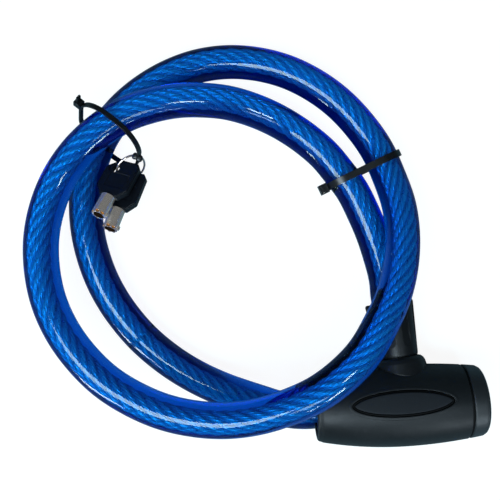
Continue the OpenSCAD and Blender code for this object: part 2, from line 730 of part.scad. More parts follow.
// ---- keys: x across the head, y along the key towards the head's far end ----
module at_key(number) {
    spot = key_spots[number - 1];
    translate(place + spot[0]) rotate([0, 0, spot[1]]) rotate([-spot[2], 0, 0])
        rotate([0, -spot[3], 0]) children();
}

module key_head(number) {
    bevel = 0.5;
    color([0.06, 0.06, 0.07]) at_key(number) difference() {
        union() {
            translate([0, 0, -key_head_thick / 2 + bevel])
                linear_extrude(key_head_thick - 2 * bevel) polygon(head_outline);
            translate([0, 10, 0]) linear_extrude(key_head_thick, center = true)
                scale((key_head_wide - 2 * bevel) / key_head_wide) translate([0, -10])
                    polygon(head_outline);
        }
        for (side = [-1, 1]) translate([panel_mid[0], panel_mid[1], side * key_head_thick / 2])
            cube([panel[0], panel[1], 2 * panel_deep], center = true);
        translate([key_hole[0], key_hole[1], -key_head_thick]) cylinder(r = key_hole_r,
            h = 2 * key_head_thick, $fn = 48);
        translate([-key_tang[0] / 2 - 0.01, -2, -key_tang[1] / 2 - 0.01])
            cube([key_tang[0] + 0.02, key_in_head + 2, key_tang[1] + 0.02]);
    }
}

module key_tube(number) {
    cuts = [0.6, 1.4, 0.9, 1.7, 0.5, 1.2, 1];
    tube_r = key_tube_d / 2;
    color([0.82, 0.82, 0.84]) at_key(number) difference() {
        union() {
            translate([0, -key_tube_len, 0]) rotate([-90, 0, 0])
                cylinder(d = key_tube_d, h = key_tube_len + key_shoulder, $fn = 64);
            translate([-key_tang[0] / 2, key_shoulder - bite, -key_tang[1] / 2])
                cube([key_tang[0], key_in_head - key_shoulder + bite, key_tang[1]]);
            translate([tube_r + 0.3, 1.5 - key_tube_len, 0]) cube([1.2, 2, 1.3], center = true);
        }
        translate([0, -key_tube_len - bite, 0]) rotate([-90, 0, 0])
            cylinder(r = tube_r - tube_wall, h = key_tube_len + key_shoulder - key_end_wall + bite,
                     $fn = 64);
        for (i = [1 : len(cuts)]) rotate([0, i * 45, 0])
            translate([tube_r + 0.2, -key_tube_len - bite, 0]) rotate([-90, 0, 0])
                cylinder(r = 1, h = cuts[i - 1] + bite, $fn = 24);
    }
}

lock_cover();
end_cap();
oval_inlay();
lock_housing();
outlet_collar();
cable_boot();
anchor_ferrule();
anchor_pin();
cylinder_case();
case_pin();
pin_sleeve();
driver_pins();
driver_springs();
cylinder_core();
key_pins();
core_cam();
latch_slider();
plug_ferrule();
locking_pin();
cable_loops();
cable_lead();
rope_loops();
rope_lead();
coil_tie();
key_tie();
key_ring();
key_head(1);  // key_head_1
key_tube(1);  // key_tube_1
key_head(2);  // key_head_2
key_tube(2);  // key_tube_2
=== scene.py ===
import logging
from dataclasses import dataclass, field
from enum import Enum
from math import cos, pi, radians, sin
from typing import Sequence

import bpy
import numpy as np
from mathutils import Matrix, Vector


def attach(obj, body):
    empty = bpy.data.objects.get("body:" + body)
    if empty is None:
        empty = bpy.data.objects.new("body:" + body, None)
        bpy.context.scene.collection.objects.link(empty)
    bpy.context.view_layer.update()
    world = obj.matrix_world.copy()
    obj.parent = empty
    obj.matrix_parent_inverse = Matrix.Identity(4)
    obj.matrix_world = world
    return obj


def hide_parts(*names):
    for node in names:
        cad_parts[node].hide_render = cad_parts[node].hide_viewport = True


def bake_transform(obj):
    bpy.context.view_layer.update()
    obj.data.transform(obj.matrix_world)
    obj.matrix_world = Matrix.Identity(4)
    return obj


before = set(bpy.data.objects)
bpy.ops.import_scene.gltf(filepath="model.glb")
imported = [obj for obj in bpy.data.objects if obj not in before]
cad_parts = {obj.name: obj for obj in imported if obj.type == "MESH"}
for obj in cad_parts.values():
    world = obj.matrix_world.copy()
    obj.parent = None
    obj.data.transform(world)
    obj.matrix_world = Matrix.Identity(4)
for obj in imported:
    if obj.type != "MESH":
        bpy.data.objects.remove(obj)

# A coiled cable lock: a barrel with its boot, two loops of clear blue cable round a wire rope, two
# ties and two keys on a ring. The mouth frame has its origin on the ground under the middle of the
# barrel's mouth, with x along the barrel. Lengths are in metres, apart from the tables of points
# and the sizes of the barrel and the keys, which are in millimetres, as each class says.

log = logging.getLogger("cable_lock")

Colour = tuple[float, float, float]
Point = tuple[float, float, float]
Pair = tuple[float, float]
Socket = bpy.types.NodeSocket
Material = bpy.types.Material

MM = 0.001
WHITE = (1, 1, 1, 1)
MOUTH_PLACE: Point = (0.0137, -0.0756, 0.0)
AXIS_HEIGHT_MM = 20.9
BARREL_ROLL = radians(-8.5)

# Among a colour mix node's sockets, several share a name, so these are found by their numbers.
MIX_FIRST, MIX_SECOND, MIX_RESULT = 6, 7, 2


class Body(str, Enum):
    """The bodies that new pieces ride on."""

    LOCK = "lock"
    PLUG = "plug"
    KEY_1 = "key_1"


class Slot(str, Enum):
    """The material slots of the record."""

    COVER = "soft_touch_cover"
    INLAY = "matte_inlay"
    BOOT = "boot_rubber"
    ZINC = "zinc"
    STEEL = "steel"
    NICKEL = "nickel"
    BRASS = "brass"
    JACKET = "blue_jacket"
    ROPE = "wire_rope"
    TIE = "tie_nylon"
    KEY = "key_plastic"


def from_mouth(points: Sequence[float] | Sequence[Sequence[float]]) -> np.ndarray:
    """Points of the mouth frame in millimetres, as points of the scene in metres."""
    return np.array(points) * MM + np.array(MOUTH_PLACE)


def mouth_frame() -> Matrix:
    """The frame of the barrel's mouth, on the ground."""
    return Matrix.Translation(MOUTH_PLACE)


def lock_frame() -> Matrix:
    """The frame of the rolled barrel, with its origin on the barrel's axis."""
    axis = mouth_frame() @ Matrix.Translation((0, 0, AXIS_HEIGHT_MM * MM))
    return axis @ Matrix.Rotation(BARREL_ROLL, 4, "X")


# ---------------------------------------------------------------- shaders


class Nodes:
    """A node tree whose nodes are added one by one."""

    def __init__(self, tree: bpy.types.NodeTree) -> None:
        """Takes the tree of a material or a world and empties it."""
        self.tree = tree
        self.tree.nodes.clear()

    def link(self, source: Socket, target: Socket) -> None:
        """Links an output to an input."""
        self.tree.links.new(source, target)

    def add(self, kind: str, **values: object) -> bpy.types.Node:
        """Adds a node.

        Args:
            kind: The node's type, without its ShaderNode prefix.
            values: Settings of the node, or values and links of its inputs, with underscores for
                the spaces in their names.

        Returns:
            The new node.
        """
        node = self.tree.nodes.new("ShaderNode" + kind)
        for key, value in values.items():
            label = key.replace("_", " ")
            if isinstance(value, Socket):
                self.link(value, node.inputs[label])
            elif label in node.inputs:
                node.inputs[label].default_value = value
            else:
                setattr(node, key, value)
        return node

    def join(self, kind: str, first: Socket, second: Socket, **values: object) -> bpy.types.Node:
        """Adds a node whose two inputs share a name.

        Args:
            kind: The node's type, without its ShaderNode prefix.
            first: What its first input is linked to.
            second: What its second input is linked to.
            values: Settings of the node.

        Returns:
            The new node.
        """
        node = self.add(kind, **values)
        self.link(first, node.inputs[0])
        self.link(second, node.inputs[1])
        return node


class Sheet(Nodes):
    """The nodes of a material."""

    def __init__(self, name: str) -> None:
        """Starts an empty material.

        Args:
            name: The material's name.
        """
        self.material = bpy.data.materials.new(name)
        self.material.use_nodes = True
        super().__init__(self.material.node_tree)
        self.out = self.add("OutputMaterial")

    def place(self) -> Socket:
        """The object's own coordinates, which are metres."""
        return self.add("TexCoord").outputs["Object"]

    def noise(self, scale: float, detail: float, rough: float,
              vector: Socket | None = None) -> Socket:
        """Noise from 0 to 1, with about scale patches to a metre, at vector or else at place()."""
        return self.add("TexNoise", Scale=scale, Detail=detail, Roughness=rough,
                        Vector=vector or self.place()).outputs["Fac"]

    def spread(self, source: Socket, low: float, high: float, start: float = 0.3,
               end: float = 0.7) -> Socket:
        """Maps source from start..end to low..high, and holds it past both ends."""
        return self.add("MapRange", Value=source, From_Min=start, From_Max=end, To_Min=low,
                        To_Max=high).outputs["Result"]

    def blend(self, fac: Socket, first: Colour | Socket, second: Colour | Socket) -> Socket:
        """Mixes two colours.

        Args:
            fac: The second colour's share.
            first: The colour where that share is 0.
            second: The colour where it is 1.

        Returns:
            The mixed colour.
        """
        node = self.add("Mix", data_type="RGBA", Factor=fac)
        for place, colour in ((MIX_FIRST, first), (MIX_SECOND, second)):
            if isinstance(colour, Socket):
                self.link(colour, node.inputs[place])
            else:
                node.inputs[place].default_value = (*colour, 1)
        return node.outputs[MIX_RESULT]

    def rounded(self, radius: float) -> Socket:
        """A normal that rounds sharp edges to a radius in metres."""
        return self.add("Bevel", samples=4, Radius=radius).outputs["Normal"]

    def vector(self, operation: str, first: Socket, second: Point | None = None,
               result: str = "Vector") -> Socket:
        """Adds a step of vector arithmetic.

        Args:
            operation: The node's operation.
            first: The vector that it works on.
            second: A constant second vector, where the operation has one.
            result: Which output it gives, Vector or Value.

        Returns:
            That output.
        """
        node = self.add("VectorMath", operation=operation)
        self.link(first, node.inputs[0])
        if second is not None:
            node.inputs[1].default_value = second
        return node.outputs[result]

    def from_line(self, start: Point, along: Point) -> Socket:
        """Each point's distance from the line through start along a unit vector."""
        offset = self.vector("SUBTRACT", self.place(), start)
        return self.vector("LENGTH", self.vector("CROSS_PRODUCT", offset, along), result="Value")

    def along_line(self, start: Point, along: Point) -> Socket:
        """How far each point lies past start along a unit vector."""
        offset = self.vector("SUBTRACT", self.place(), start)
        return self.vector("DOT_PRODUCT", offset, along, result="Value")

    def relief(self, height: Socket, depth: float, under: Socket | None = None) -> Socket:
        """Bumps the surface.

        Args:
            height: The relief, from 0 to 1.
            depth: How deep it is, in metres.
            under: The normal that it is laid over, or else the surface's own.

        Returns:
            The bumped normal.
        """
        node = self.add("Bump", Height=height, Strength=1.0, Distance=depth)
        if under is not None:
            self.link(under, node.inputs["Normal"])
        return node.outputs["Normal"]

    def finish(self, surface: bpy.types.Node, volume: bpy.types.Node | None = None) -> Material:
        """Ends the material.

        Args:
            surface: The shader of its surface.
            volume: The shader of what is inside, if it has one.

        Returns:
            The material.
        """
        self.link(surface.outputs[0], self.out.inputs["Surface"])
        if volume is not None:
            self.link(volume.outputs[0], self.out.inputs["Volume"])
        return self.material


@dataclass(frozen=True)
class Moulded:
    """A moulded plastic or rubber: a grain, faint cloudiness and handling marks."""

    name: str
    colour: Colour
    worn: Colour
    roughness: float
    spread: float = 0.06
    grain: float = 3200.0
    depth: float = 0.000012
    sheen: float = 0.0
    specular: float = 0.5
    edge: float = 0.00025
    tint: Colour = (0.72, 0.89, 1.0)
    clouds: float = 90.0
    marks: float = 420.0
    marked: Pair = (0.52, 0.72)
    sheen_roughness: float = 0.4

    def material(self) -> Material:
        """Builds the material.

        Returns:
            The material, whose marks show where their noise is in the marked range.
        """
        sheet = Sheet(self.name)
        cloud = sheet.noise(self.clouds, 4, 0.6)
        fine = sheet.noise(self.grain, 2, 0.6)
        rubbed = sheet.spread(sheet.noise(self.marks, 5, 0.65), 0, 1, *self.marked)
        smooth, dull = self.roughness - self.spread, self.roughness + self.spread
        shader = sheet.add(
            "BsdfPrincipled",
            Base_Color=sheet.blend(rubbed, self.colour, self.worn),
            Roughness=sheet.spread(cloud, smooth, dull),
            Normal=sheet.relief(fine, self.depth, sheet.rounded(self.edge)),
            Specular_IOR_Level=self.specular,
            Specular_Tint=(*self.tint, 1),
            Sheen_Weight=self.sheen,
            Sheen_Tint=(*self.tint, 1),
            Sheen_Roughness=self.sheen_roughness,
        )
        return sheet.finish(shader)


@dataclass(frozen=True)
class BareMetal:
    """A bare or plated metal: fine scratches one way and cloudy polish."""

    name: str
    colour: Colour
    dull: Colour
    roughness: float
    stretch: Point = (1.0, 1.0, 0.08)
    scratches: float = 2600.0
    depth: float = 0.000004
    metallic: float = 1.0
    clouds: float = 260.0
    dulled: Pair = (0.35, 0.75)
    polish: Pair = (0.7, 1.4)

    def material(self) -> Material:
        """Builds the material.

        Returns:
            The material, whose roughness varies by the shares in polish.
        """
        sheet = Sheet(self.name)
        along = sheet.add("Mapping", Vector=sheet.place(), Scale=self.stretch).outputs["Vector"]
        lines = sheet.noise(self.scratches, 3, 0.6, along)
        cloud = sheet.noise(self.clouds, 4, 0.6)
        smooth, scratched = (self.roughness * share for share in self.polish)
        shader = sheet.add(
            "BsdfPrincipled",
            Base_Color=sheet.blend(sheet.spread(cloud, 0, 1, *self.dulled), self.colour, self.dull),
            Metallic=self.metallic,
            Roughness=sheet.spread(lines, smooth, scratched),
            Normal=sheet.relief(lines, self.depth),
        )
        return sheet.finish(shader)


@dataclass(frozen=True)
class PlatedTube:
    """A brass tube under bright nickel, round an axis from start along a unit vector.

    The brass is bare where the tube is cut, and the bore is painted dark as shade. A colour changes
    to the next one over a blur, to both sides of its radius, or between two lengths past the end.
    """

    name: str
    start: Point
    along: Point
    plated_from: float = 0.00386
    plated_blur: float = 0.00003
    bore_r: float = 0.00290
    bore_blur: float = 0.00002
    end: float = -0.0130
    end_blur: Pair = (0.00006, 0.00010)
    nickel: Colour = (0.92, 0.90, 0.84)
    brass: Colour = (0.70, 0.42, 0.14)
    # Painted shade: the bore's colour is a dark brass that stands in for the shade inside the tube.
    bore_shade: Colour = (0.10, 0.065, 0.035)
    roughness: float = 0.17
    metallic: float = 0.78
    clouds: float = 900.0
    polish: Pair = (0.6, 1.6)
    depth: float = 0.0000008
    edge: float = 0.00012

    def material(self) -> Material:
        """Builds the material.

        Returns:
            The material, for a tube that lies where the axis says.
        """
        sheet = Sheet(self.name)
        away = sheet.from_line(self.start, self.along)
        out = sheet.spread(away, 0, 1, self.plated_from - self.plated_blur,
                           self.plated_from + self.plated_blur)
        # Painted shade: inside the bore's radius the tube takes the dark colour, not its metal's
        # own.
        outside_bore_shade = sheet.spread(away, 0, 1, self.bore_r - self.bore_blur, self.bore_r + self.bore_blur)
        face = sheet.spread(sheet.along_line(self.start, self.along), 1, 0,
                            *(self.end + blur for blur in self.end_blur))
        cut = sheet.blend(outside_bore_shade, self.bore_shade, sheet.blend(face, self.brass, self.nickel))
        cloud = sheet.noise(self.clouds, 4, 0.6)
        smooth, dull = (self.roughness * share for share in self.polish)
        shader = sheet.add(
            "BsdfPrincipled",
            Base_Color=sheet.blend(out, cut, self.nickel),
            Metallic=self.metallic,
            Roughness=sheet.spread(cloud, smooth, dull),
            Normal=sheet.relief(cloud, self.depth, sheet.rounded(self.edge)),
        )
        return sheet.finish(shader)


@dataclass(frozen=True)
class ClearJacket:
    """Clear plastic that takes up red, then green, along the light's way through it."""

    name: str = "clear_blue_jacket"
    roughness: float = 0.05
    ior: float = 1.5
    passed: Colour = (0.0, 0.735, 0.942)
    shine: Colour = (0.70, 0.97, 0.92)
    density: float = 600.0
    waves: float = 220.0
    depth: float = 0.000012

    def material(self) -> Material:
        """Builds the material.

        Returns:
            The material, with its colour in its volume.
        """
        sheet = Sheet(self.name)
        shader = sheet.add(
            "BsdfPrincipled",
            Base_Color=WHITE,
            Roughness=self.roughness,
            IOR=self.ior,
            Transmission_Weight=1.0,
            Specular_Tint=(*self.shine, 1),
            Normal=sheet.relief(sheet.noise(self.waves, 5, 0.6), self.depth),
        )
        inside = sheet.add("VolumeAbsorption", Color=(*self.passed, 1), Density=self.density)
        return sheet.finish(shader, inside)


EVEN: Point = (1.0, 1.0, 1.0)

# Each has its own colour, the one where it is worn or dull, and its roughness.
SLOT_FINISHES: dict[Slot, Moulded | BareMetal | ClearJacket] = {
    Slot.COVER: Moulded("soft_touch_shell", (0.0055, 0.0090, 0.0118), (0.009, 0.013, 0.017), 0.45,
                        grain=1900, depth=0.00006, sheen=0.06, specular=0.36, edge=0.0004),
    Slot.INLAY: Moulded("matte_panel", (0.008, 0.0125, 0.018), (0.010, 0.0155, 0.022), 0.60,
                        spread=0.04, grain=2600, depth=0.00002, specular=0.25),
    Slot.BOOT: Moulded("boot_rubber", (0.0050, 0.0078, 0.0102), (0.009, 0.012, 0.016), 0.38,
                       grain=2200, depth=0.000016, sheen=0.04, specular=0.42, edge=0.0005),
    Slot.ZINC: BareMetal("die_cast_zinc", (0.50, 0.51, 0.53), (0.36, 0.37, 0.39), 0.42,
                         stretch=EVEN, scratches=1800, depth=0.00001),
    Slot.STEEL: BareMetal("turned_steel", (0.56, 0.57, 0.58), (0.42, 0.43, 0.45), 0.28),
    Slot.NICKEL: BareMetal("bright_nickel", (0.86, 0.85, 0.82), (0.74, 0.73, 0.70), 0.16,
                           metallic=0.85),
    Slot.BRASS: BareMetal("turned_brass", (0.78, 0.53, 0.24), (0.62, 0.40, 0.17), 0.25),
    Slot.JACKET: ClearJacket(),
    Slot.ROPE: BareMetal("drawn_wire", (0.92, 0.93, 0.94), (0.78, 0.80, 0.82), 0.33,
                         stretch=EVEN, scratches=900, depth=0.000003, metallic=0.76),
    Slot.TIE: Moulded("tie_nylon", (0.003, 0.0045, 0.006), (0.006, 0.008, 0.010), 0.31,
                      spread=0.05, grain=1500, depth=0.000006, specular=0.8),
    Slot.KEY: Moulded("key_plastic", (0.004, 0.0065, 0.0115), (0.007, 0.011, 0.018), 0.34,
                      spread=0.05, grain=3600, depth=0.000006, edge=0.0005),
}
# The end ring's finish is a lighter, glossier copy of the cover's: its lighter colour is painted
# light, for the brighter sheen that falls on the end ring.
LIT_END_RING = Moulded("end_ring_shell", (0.0090, 0.0145, 0.0190), (0.013, 0.019, 0.025), 0.42,
                   grain=1900, depth=0.00004, sheen=0.06, specular=0.90, edge=0.0004)
# This near-black finish is painted shade, laid in the panel's groove and the end ring's seam where
# there is only shade.
PAINTED_SHADE = Moulded("black_painted_shade", (0.0012, 0.002, 0.0026), (0.002, 0.003, 0.004), 0.6, specular=0.15)


class Finishes:
    """Every finish of the lock, built once."""

    def __init__(self) -> None:
        """Builds a material for each slot, a lit copy of the cover's for the end ring, and a black
        one for painted shade.
        """
        self.by_slot = {slot: finish.material() for slot, finish in SLOT_FINISHES.items()}
        self.lit_end_ring = LIT_END_RING.material()
        self.painted_shade = PAINTED_SHADE.material()

    def dress(self, node: str, slot: Slot) -> None:
        """Gives a solid of the model the slot's finish."""
        self.cover(node, self.by_slot[slot])

    def cover(self, node: str, material: Material) -> None:
        """Finishes a solid of the model.

        Args:
            node: The solid's name.
            material: What all of its material slots get.
        """
        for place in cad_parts[node].material_slots:
            place.material = material
        log.info("%s is finished as %s", node, material.name)


# ---------------------------------------------------------------- meshes


def make_piece(name: str, verts: np.ndarray, faces: Sequence[Sequence[int]],
               smooth: bool = True) -> bpy.types.Object:
    """Makes a mesh object from points and faces.

    Args:
        name: The piece's name.
        verts: Its points, in metres.
        faces: Corner numbers of each face.
        smooth: Whether its faces are shaded smoothly.

    Returns:
        The new object, linked to the scene.
    """
    mesh = bpy.data.meshes.new(name)
    mesh.from_pydata(np.asarray(verts).tolist(), [], [list(map(int, face)) for face in faces])
    mesh.validate()
    mesh.polygons.foreach_set("use_smooth", [smooth] * len(mesh.polygons))
    mesh.update()
    piece = bpy.data.objects.new(name, mesh)
    bpy.context.scene.collection.objects.link(piece)
    return piece


def dress_piece(piece: bpy.types.Object, material: Material) -> None:
    """Finishes a new piece.

    Args:
        piece: The piece.
        material: Its material.
    """
    piece.data.materials.append(material)
    log.info("%s has %d faces", piece.name, len(piece.data.polygons))


def tube_faces(rings: int, sides: int, first: int = 0,
               ends_meet: bool = False) -> list[tuple[int, ...]]:
    """Faces of a tube of points.

    Args:
        rings: How many rings it has.
        sides: How many points each ring has.
        first: The number of its first point.
        ends_meet: Whether the last ring joins the first, or else one flat face closes each end.

    Returns:
        Corner numbers of each face.
    """
    laps = rings if ends_meet else rings - 1
    ring, side = np.arange(laps)[:, None], np.arange(sides)[None, :]
    a, b = ring * sides + side, ring * sides + (side + 1) % sides
    c, d = (ring + 1) % rings * sides + (side + 1) % sides, (ring + 1) % rings * sides + side
    faces = [tuple(face) for face in (np.stack([a, b, c, d], -1).reshape(-1, 4) + first).tolist()]
    if not ends_meet:
        faces.append(tuple(range(first + sides - 1, first - 1, -1)))
        faces.append(tuple(range(first + (rings - 1) * sides, first + rings * sides)))
    return faces


def circle(sides: int) -> np.ndarray:
    """Angles evenly round a circle."""
    return np.linspace(0, 2 * pi, sides, endpoint=False)


def unit(rows: np.ndarray) -> np.ndarray:
    """Each row at length 1."""
    return rows / np.linalg.norm(rows, axis=-1, keepdims=True)


@dataclass
class Route:
    """The cable's centreline through points in metres, with a frame that doesn't twist."""

    points: np.ndarray
    step: float = 0.001
    parts: int = 40
    place: np.ndarray = field(init=False)
    length: np.ndarray = field(init=False)
    along: np.ndarray = field(init=False)
    side: np.ndarray = field(init=False)
    up: np.ndarray = field(init=False)

    def __post_init__(self) -> None:
        """Samples a smooth curve through the points evenly and carries a frame along it."""
        p = np.vstack([self.points[:1], self.points, self.points[-1:]])
        t = np.linspace(0, 1, self.parts, endpoint=False)[:, None]
        spans = [
            0.5 * (2 * b + (c - a) * t + (2 * a - 5 * b + 4 * c - d) * t**2
                   + (3 * b - a - 3 * c + d) * t**3)
            for a, b, c, d in zip(p[:-3], p[1:-2], p[2:-1], p[3:])
        ]
        dense = np.vstack([*spans, p[-1:]])
        run = np.r_[0, np.cumsum(np.linalg.norm(np.diff(dense, axis=0), axis=1))]
        self.length = np.linspace(0, run[-1], int(run[-1] / self.step) + 1)
        self.place = np.stack([np.interp(self.length, run, dense[:, k]) for k in range(3)], 1)
        self.along = unit(np.gradient(self.place, axis=0))
        up = np.array([0.0, 0.0, 1.0])
        ups = []
        for direction in self.along:
            up = up - direction * (up @ direction)
            up /= np.linalg.norm(up)
            ups.append(up)
        self.up = np.array(ups)
        self.side = np.cross(self.up, self.along)

    def at(self, s: np.ndarray) -> tuple[np.ndarray, ...]:
        """Finds the frame at some lengths.

        Args:
            s: Lengths along the route.

        Returns:
            The place, direction, side and up at each.
        """
        place, *axes = (np.stack([np.interp(s, self.length, rows[:, k]) for k in range(3)], -1)
                        for rows in (self.place, self.along, self.side, self.up))
        return place, *map(unit, axes)

    def nearest(self, point: np.ndarray) -> float:
        """The length along the route that is nearest to a point."""
        return float(self.length[np.argmin(np.linalg.norm(self.place - point, axis=1))])


# ---------------------------------------------------------------- camera, lamps and floor


@dataclass(frozen=True)
class SoftBox:
    """A rectangular soft lamp that faces the lock.

    A strip only draws streaks on what is glossy, so what lies inside clear plastic doesn't see it.
    """

    name: str
    centre: Point
    size: Pair
    radiance: float
    turn: float
    strip: bool = False
    target: Point = (0.0, 0.01, 0.02)

    def build(self) -> None:
        """Hangs the lamp in the scene."""
        data = bpy.data.lights.new(self.name, "AREA")
        data.shape = "RECTANGLE"
        data.size, data.size_y = self.size
        data.energy = self.radiance * pi * self.size[0] * self.size[1]
        lamp = bpy.data.objects.new(self.name, data)
        aim = (Vector(self.target) - Vector(self.centre)).to_track_quat("-Z", "Y")
        lamp.matrix_world = (Matrix.Translation(self.centre) @ aim.to_matrix().to_4x4()
                             @ Matrix.Rotation(self.turn, 4, "Z"))
        lamp.visible_transmission = not self.strip
        bpy.context.scene.collection.objects.link(lamp)


@dataclass(frozen=True)
class Studio:
    """A camera straight above, six soft boxes, a pale sky and a pale floor."""

    camera_place: Point = (-0.01446, 0.01064, 0.4)
    camera_turn: float = radians(-3.9)
    lens: float = 52.24
    sensor: float = 36
    clip: Pair = (0.01, 20)
    sky: float = 0.05
    sky_through: float = 0.6
    floor_half: float = 1.6
    floor_grey: Colour = (0.12, 0.21, 0.25)
    floor_through: Colour = (0.7, 0.7, 0.7)
    floor_lift: Pair = (0.925, 1.0)
    floor_reach: Pair = (0.2, 0.9)
    boxes: tuple[SoftBox, ...] = (
        SoftBox("left_overhead_box", (-0.393, -0.339, 1.043), (0.75, 0.47), 9.2, radians(13)),
        SoftBox("right_overhead_box", (0.368, -0.339, 1.052), (0.15, 0.15), 17.0, radians(-73)),
        SoftBox("front_box", (0.173, -0.655, 0.942), (0.16, 0.28), 5.5, radians(30)),
        SoftBox("front_right_box", (0.504, -0.873, 0.558), (0.18, 0.18), 17.0, radians(7), True),
        SoftBox("low_right_strip", (0.339, -0.985, 0.488), (0.10, 0.10), 14.0, radians(-68), True),
        SoftBox("low_left_strip", (-0.890, -0.700, 0.180), (0.12, 0.57), 13.0, radians(-28), True),
    )

    def build(self) -> None:
        """Sets up the camera, the lamps, the sky, the floor and the view."""
        self.build_camera()
        for box in self.boxes:
            box.build()
        self.build_sky()
        self.build_floor()
        bpy.context.scene.view_settings.view_transform = "Standard"
        bpy.context.scene.cycles.use_denoising = True

    def build_camera(self) -> None:
        """Hangs the camera over the lock."""
        data = bpy.data.cameras.new("camera")
        data.lens = self.lens
        data.sensor_width = self.sensor
        data.clip_start, data.clip_end = self.clip
        camera = bpy.data.objects.new("camera", data)
        camera.location = self.camera_place
        camera.rotation_euler = (0, 0, self.camera_turn)
        bpy.context.scene.collection.objects.link(camera)
        bpy.context.scene.camera = camera

    def build_sky(self) -> None:
        """A dim even sky, which is bright through what is clear and white where it is seen."""
        world = bpy.data.worlds.new("sky")
        world.use_nodes = True
        bpy.context.scene.world = world
        nodes = Nodes(world.node_tree)
        rays = nodes.add("LightPath").outputs
        lit = nodes.add("Mix", Factor=rays["Is Transmission Ray"], A=self.sky, B=self.sky_through)
        seen = nodes.add("Mix", Factor=rays["Is Camera Ray"], A=lit.outputs["Result"], B=1.0)
        light = nodes.add("Background", Color=WHITE, Strength=seen.outputs["Result"])
        nodes.add("OutputWorld", Surface=light.outputs[0])

    def build_floor(self) -> None:
        """A pale matt floor that keeps the lock's shadow, and turns white far from the lock."""
        h = self.floor_half
        corners = np.array([(-h, -h, 0), (h, -h, 0), (h, h, 0), (-h, h, 0)])
        floor = make_piece("floor", corners, [(0, 1, 2, 3)], smooth=False)
        sheet = Sheet("pale_floor")
        rays = sheet.add("LightPath").outputs
        grey = sheet.blend(rays["Is Transmission Ray"], self.floor_grey, self.floor_through)
        matt = sheet.add("BsdfDiffuse", Color=grey)
        outwards = sheet.from_line((0, 0, 0), (0, 0, 1))
        glow = sheet.join("Math", rays["Is Camera Ray"],
                          sheet.spread(outwards, *self.floor_lift, *self.floor_reach),
                          operation="MULTIPLY")
        lift = sheet.add("Emission", Color=WHITE, Strength=glow.outputs[0])
        both = sheet.join("AddShader", matt.outputs[0], lift.outputs[0])
        floor.data.materials.append(sheet.finish(both))


# ---------------------------------------------------------------- cable


